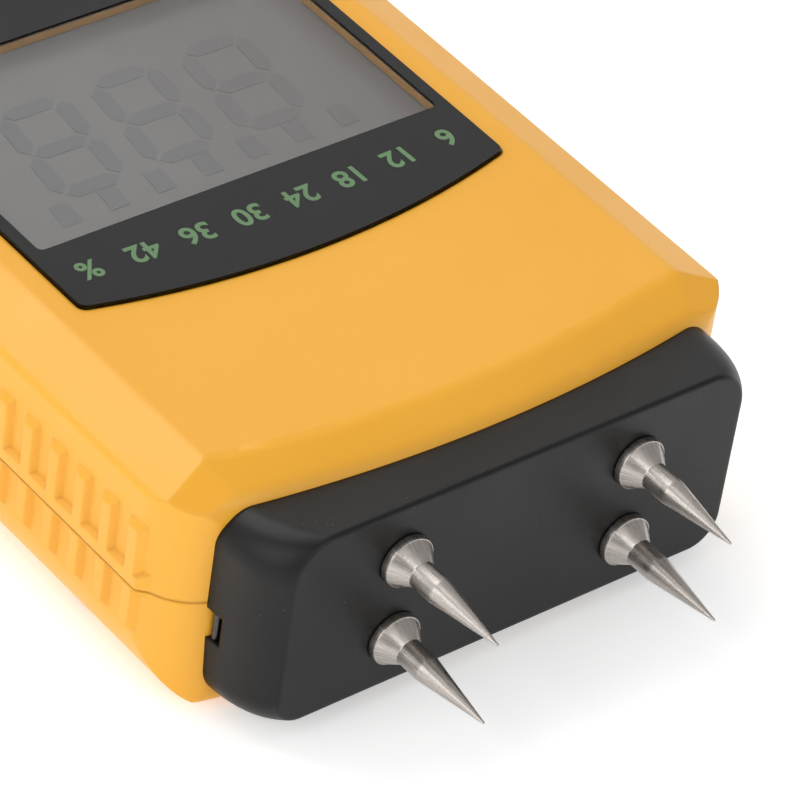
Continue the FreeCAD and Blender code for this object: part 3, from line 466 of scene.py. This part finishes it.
pin_profile += [(0.7 * tip_radius, tip - 0.3 * tip_radius), (0, tip)]
pin_gap_x = pins_high[0] - pins_low[0] - 2 * collar_radius
pin_gap_z = pins_high[2] - pins_low[2] - 2 * collar_radius
pins = copies_in_grid("needle_pins_turned", turned_mesh("needle_pin", pin_profile, pin_sides),
                      pin_steel, (pin_gap_x, pin_gap_z), (2, 2),
                      (0.0, 0.0, (pins_low[2] + pins_high[2]) / 2), (math.pi / 2, 0.0, 0.0), 24)
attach(pins, "case")
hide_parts("needle_pins")
insert_brass = turned_metal("insert_brass", colour(214, 178, 98), colour(170, 132, 62), 8000.0,
                            0.00002)
dress("pin_inserts", insert_brass)
dress("contact_plates", insert_brass)
screw_zinc = turned_metal("screw_zinc", colour(190, 192, 196), colour(140, 142, 147), 5000.0,
                          0.00001)
dress("pin_nuts", screw_zinc)
post_steel = turned_metal("post_steel", colour(96, 94, 92), colour(60, 58, 56), 5000.0,
                          0.00001)
dress("latch_posts", post_steel)
dress("board_screws", screw_zinc)
dress("case_screws", screw_zinc)


# ---------------------------------------------------------------------------------------------
# Display: a grey liquid-crystal glass in a white frame on the board, with the faint marks of
# its unlit digits, two conductive rubber strips below it and a clear lens over it.
# ---------------------------------------------------------------------------------------------
glass_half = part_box("display_glass")[1][0]


def polariser_with_painted_shade(name, main, cloudy, painted_shade_colour):
    """Grey film, a little cloudy, darkened by painted shade towards the low X end."""
    look, tree, shader = start_material(name)
    place = object_place(tree)
    cloud = spread(tree, noise(tree, place, 40.0, 3.0), 0.3, 0.7, 0.0, 1.0)
    sideways = tree.nodes.new("ShaderNodeSeparateXYZ")
    wire(tree, place, sideways.inputs[0])
    # Painted shade: a ramp that darkens the colour to a brownish grey towards the low X end.
    painted_shade_ramp = spread(tree, sideways.outputs["X"], 0.2 * glass_half, -0.95 * glass_half, 0.0, 1.0)
    wire(tree, blend_colours(tree, painted_shade_ramp, blend_colours(tree, cloud, main, cloudy), painted_shade_colour),
         shader.inputs["Base Color"])
    wire(tree, spread(tree, noise(tree, place, 500.0, 2.0), 0.3, 0.7, 0.3, 0.42),
         shader.inputs["Roughness"])
    return look


# The glass and the unlit digit marks both get the same painted shade towards the low X end.
dress("display_glass", polariser_with_painted_shade("grey_polariser", colour(119, 119, 118), colour(114, 114, 113),
                                 colour(96, 88, 85)))
ghost_ink = polariser_with_painted_shade("ghost_segments", colour(103, 104, 108), colour(100, 101, 105),
                      colour(82, 76, 76))


def add_plate(form, outline, low, high):
    """Thin flat plate with the given outline of (x, y), wound anticlockwise."""
    under = [form.verts.new((x, y, low)) for x, y in outline]
    over = [form.verts.new((x, y, high)) for x, y in outline]
    form.faces.new(over)
    form.faces.new(list(reversed(under)))
    for k in range(len(outline)):
        after = (k + 1) % len(outline)
        form.faces.new((under[k], under[after], over[after], over[k]))


def segment_digit(name, height, width, stroke, gap, slant, thick):
    """One unlit seven-segment digit, centred, leaning by slant to the right."""
    form = bmesh.new()
    half_h, half_w, half_s = height / 2, width / 2, stroke / 2
    ends = [((-half_w, half_h), (half_w, half_h)), ((-half_w, 0), (half_w, 0)),
            ((-half_w, -half_h), (half_w, -half_h))]
    for side in (-half_w, half_w):
        ends += [((side, 0), (side, half_h)), ((side, -half_h), (side, 0))]
    for (x0, y0), (x1, y1) in ends:
        long_x, long_y = (1, 0) if y0 == y1 else (0, 1)
        x0, y0 = x0 + long_x * gap, y0 + long_y * gap
        x1, y1 = x1 - long_x * gap, y1 - long_y * gap
        shape = [(x0, y0), (x0 + half_s * (long_x + long_y), y0 + half_s * (long_y - long_x)),
                 (x1 + half_s * (long_y - long_x), y1 - half_s * (long_x + long_y)), (x1, y1),
                 (x1 - half_s * (long_x + long_y), y1 + half_s * (long_x - long_y)),
                 (x0 + half_s * (long_x - long_y), y0 + half_s * (long_x + long_y))]
        add_plate(form, [(x + slant * y, y) for x, y in shape], 0, thick)
    mesh = bpy.data.meshes.new(name)
    form.to_mesh(mesh)
    form.free()
    return mesh


digit_height, digit_width, digit_pitch = 0.0130, 0.0068, 0.0111
glass_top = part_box("display_glass")[1][2]
digits_y, marks_y, mark_pitch = 0.0096, 0.0187, 0.0056
film_thick, film_lift = 0.00002, 0.00004
digits = copies_in_grid(
    "unlit_digits", segment_digit("unlit_digit", digit_height, digit_width, 0.0019, 0.0003, 0.12,
                                  film_thick), ghost_ink, (2 * digit_pitch, 0.0), (3, 1),
    (0.0, digits_y, glass_top + film_lift))
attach(digits, "case")

mark = bmesh.new()
mark_w, mark_l = 0.0011, 0.0016
add_plate(mark, [(-mark_w, -mark_l), (mark_w, -mark_l), (mark_w * 1.3, mark_l),
                 (-mark_w * 0.7, mark_l)], 0, film_thick)
mark_mesh = bpy.data.meshes.new("unlit_mark")
mark.to_mesh(mark_mesh)
mark.free()
marks = copies_in_grid("unlit_marks", mark_mesh, ghost_ink, (6 * mark_pitch, 0.0), (7, 1),
                       (0.0, marks_y, glass_top + film_lift))
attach(marks, "case")

frame_white, _, _ = moulded("frame_white", colour(226, 226, 220), colour(220, 220, 214), 0.5,
                            0.00002)
dress("display_frame", frame_white)
strip_rubber, _, _ = moulded("strip_rubber", colour(70, 70, 74), colour(58, 58, 62), 0.7,
                             0.00004)
dress("contact_strips", strip_rubber)

border_ink, _, border_shader = moulded("border_ink", colour(17, 17, 17), colour(21, 21, 21),
                                       0.3, 0.000006, 0.4)
border_shader.inputs["Specular IOR Level"].default_value = 0.28
dress("lens_border", border_ink)

lens_clear, lens_tree, lens_shader = start_material("lens_clear")
lens_shader.inputs["Base Color"].default_value = (1.0, 0.985, 0.97, 1.0)
lens_shader.inputs["Transmission Weight"].default_value = 1.0
lens_shader.inputs["IOR"].default_value = 1.49
wire(lens_tree, spread(lens_tree, noise(lens_tree, object_place(lens_tree), 60.0, 2.0), 0.3, 0.7,
                       0.02, 0.05), lens_shader.inputs["Roughness"])
dress("display_lens", lens_clear)

legend_green, _, _ = moulded("legend_green", colour(92, 128, 84), colour(86, 120, 78), 0.4,
                             0.000002)
legend_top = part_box("lens_border")[1][2]
legend_bow, legend_height = 0.4, 0.0025
legend_crown, legend_half, legend_lift = 0.0281, 0.0215, 0.00001
legend = bmesh.new()


def letter_outline(body, height):
    """Mesh of one numeral in the built-in font, centred on its foot, drawn flat."""
    words = bpy.data.curves.new("legend_word", "FONT")
    words.body = body
    words.size = height / 0.7
    words.offset = 0.00008
    words.align_x = "CENTER"
    holder = bpy.data.objects.new("legend_word", words)
    bpy.context.scene.collection.objects.link(holder)
    graph = bpy.context.evaluated_depsgraph_get()
    mesh = bpy.data.meshes.new_from_object(holder.evaluated_get(graph), depsgraph=graph)
    bpy.data.objects.remove(holder)
    return mesh


legend_words = ("6", "12", "18", "24", "30", "36", "42", "%")
for number, word in enumerate(legend_words):
    x = (number / (len(legend_words) - 1) - 0.5) * 2 * legend_half
    lean = math.asin(x / legend_bow)
    y = legend_crown - legend_bow * (1 - math.cos(lean))
    flat = letter_outline(word, legend_height)
    flat.transform(Matrix.Translation((x, y, legend_top + legend_lift))
                   @ Matrix.Rotation(-lean, 4, "Z"))
    legend.from_mesh(flat)
legend_mesh = bpy.data.meshes.new("scale_numerals")
legend.to_mesh(legend_mesh)
legend.free()
numerals = bpy.data.objects.new("scale_numerals", legend_mesh)
bpy.context.scene.collection.objects.link(numerals)
legend_mesh.materials.append(legend_green)
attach(numerals, "case")


# ---------------------------------------------------------------------------------------------
# Circuit board and what stands on it: green solder mask on glass laminate, black chips, three
# small switches, a buzzer, and red covered leads to the pins and to the battery clip.
# ---------------------------------------------------------------------------------------------
board_green, board_tree, board_shader = start_material("board_green")
tracks = board_tree.nodes.new("ShaderNodeTexBrick")
tracks.inputs["Scale"].default_value = 260.0
tracks.inputs["Mortar Size"].default_value = 0.03
tracks.inputs["Color1"].default_value = colour(14, 84, 40)
tracks.inputs["Color2"].default_value = colour(12, 76, 36)
tracks.inputs["Mortar"].default_value = colour(34, 120, 62)
wire(board_tree, object_place(board_tree), tracks.inputs["Vector"])
wire(board_tree, tracks.outputs["Color"], board_shader.inputs["Base Color"])
board_shader.inputs["Roughness"].default_value = 0.3
dress("circuit_board", board_green)
chip_black, _, _ = moulded("chip_black", colour(30, 30, 31), colour(36, 36, 38), 0.6, 0.00003)
for part in ("board_parts", "buzzer", "tact_switches", "battery_clip"):
    dress(part, chip_black)
lead_red, _, _ = moulded("lead_red", colour(150, 22, 18), colour(140, 18, 16), 0.4, 0.00002)
dress("pin_leads", lead_red)
dress("battery_leads", lead_red)


# ---------------------------------------------------------------------------------------------
# Push buttons: three dark silicone caps, moulded with a soft satin skin, which rise a little
# out of the face under the display and press the switches on the board.
# ---------------------------------------------------------------------------------------------
button_rubber, _, _ = moulded("button_rubber", colour(52, 53, 55), colour(58, 59, 61), 0.55,
                              0.00003)
for part in ("button_left", "button_middle", "button_right"):
    dress(part, button_rubber)

mark_white, _, _ = moulded("mark_white", colour(206, 206, 202), colour(198, 198, 194), 0.5,
                           0.000002)
symbol_radius, symbol_stroke = 0.0015, 0.0004
sign_sink, sign_proud = 0.00001, 0.000005


def arc_band(radius, stroke, start, end, steps):
    """Outline of a flat ring piece between two angles in degrees."""
    angles = [math.radians(start + (end - start) * k / steps) for k in range(steps + 1)]
    outer = [(radius * math.cos(a), radius * math.sin(a)) for a in angles]
    inner = [((radius - stroke) * math.cos(a), (radius - stroke) * math.sin(a))
             for a in reversed(angles)]
    return outer + inner


def button_mark(name, body, cap, outlines):
    """Printed sign in the middle of a button cap; it rides with the cap."""
    low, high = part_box(cap)
    middle = (low + high) / 2
    form = bmesh.new()
    for outline in outlines:
        add_plate(form, [(middle[0] + x, middle[1] + y) for x, y in outline],
                  high[2] - sign_sink, high[2] + sign_proud)
    mesh = bpy.data.meshes.new(name)
    form.to_mesh(mesh)
    form.free()
    mesh.materials.append(mark_white)
    piece = bpy.data.objects.new(name, mesh)
    bpy.context.scene.collection.objects.link(piece)
    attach(piece, body)


half_stroke = symbol_stroke / 2
power_sign = [arc_band(symbol_radius, symbol_stroke, 120, 420, 30),
              [(-half_stroke, 0.0003), (half_stroke, 0.0003), (half_stroke, 0.0017),
               (-half_stroke, 0.0017)]]
pause_sign = [[(x - half_stroke, -0.0012), (x + half_stroke, -0.0012), (x + half_stroke, 0.0012),
               (x - half_stroke, 0.0012)] for x in (-0.0006, 0.0006)]
lamp_sign = [arc_band(0.0008, 0.0004, 0, 180, 16), arc_band(0.0008, 0.0004, 180, 360, 16)]
for k in range(8):
    angle = math.radians(45 * k)
    along = Vector((math.cos(angle), math.sin(angle)))
    across = Vector((-along.y, along.x)) * half_stroke * 0.7
    lamp_sign.append([tuple(along * 0.00115 - across), tuple(along * 0.0016 - across),
                      tuple(along * 0.0016 + across), tuple(along * 0.00115 + across)])
button_mark("power_mark", "button_left_cap", "button_left", power_sign)
button_mark("hold_mark", "button_middle_cap", "button_middle", pause_sign)
button_mark("lamp_mark", "button_right_cap", "button_right", lamp_sign)


# ---------------------------------------------------------------------------------------------
# Battery, its foam pad and its door: a block cell in a plain printed jacket, lying across the
# bay, and a yellow door that slides out over the rear end of the case.
# ---------------------------------------------------------------------------------------------
jacket, jacket_tree, jacket_shader = moulded("battery_jacket", colour(40, 46, 60),
                                             colour(46, 52, 68), 0.35, 0.00001)
jacket_skin = jacket_shader.inputs["Base Color"].links[0].from_socket
jacket_axes = jacket_tree.nodes.new("ShaderNodeSeparateXYZ")
wire(jacket_tree, object_place(jacket_tree), jacket_axes.inputs[0])
battery_low, battery_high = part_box("battery")
band_edge = battery_low[0] + 0.62 * (battery_high[0] - battery_low[0])
wire(jacket_tree, blend_colours(jacket_tree,
                                spread(jacket_tree, jacket_axes.outputs["X"], band_edge,
                                       band_edge + 0.0001, 0.0, 1.0),
                                jacket_skin, colour(196, 150, 70)),
     jacket_shader.inputs["Base Color"])
dress("battery", jacket)
pad_foam, _, _ = moulded("pad_foam", colour(60, 60, 62), colour(48, 48, 50), 0.95, 0.0003)
dress("battery_pad", pad_foam)
dress("battery_door", yellow_abs)
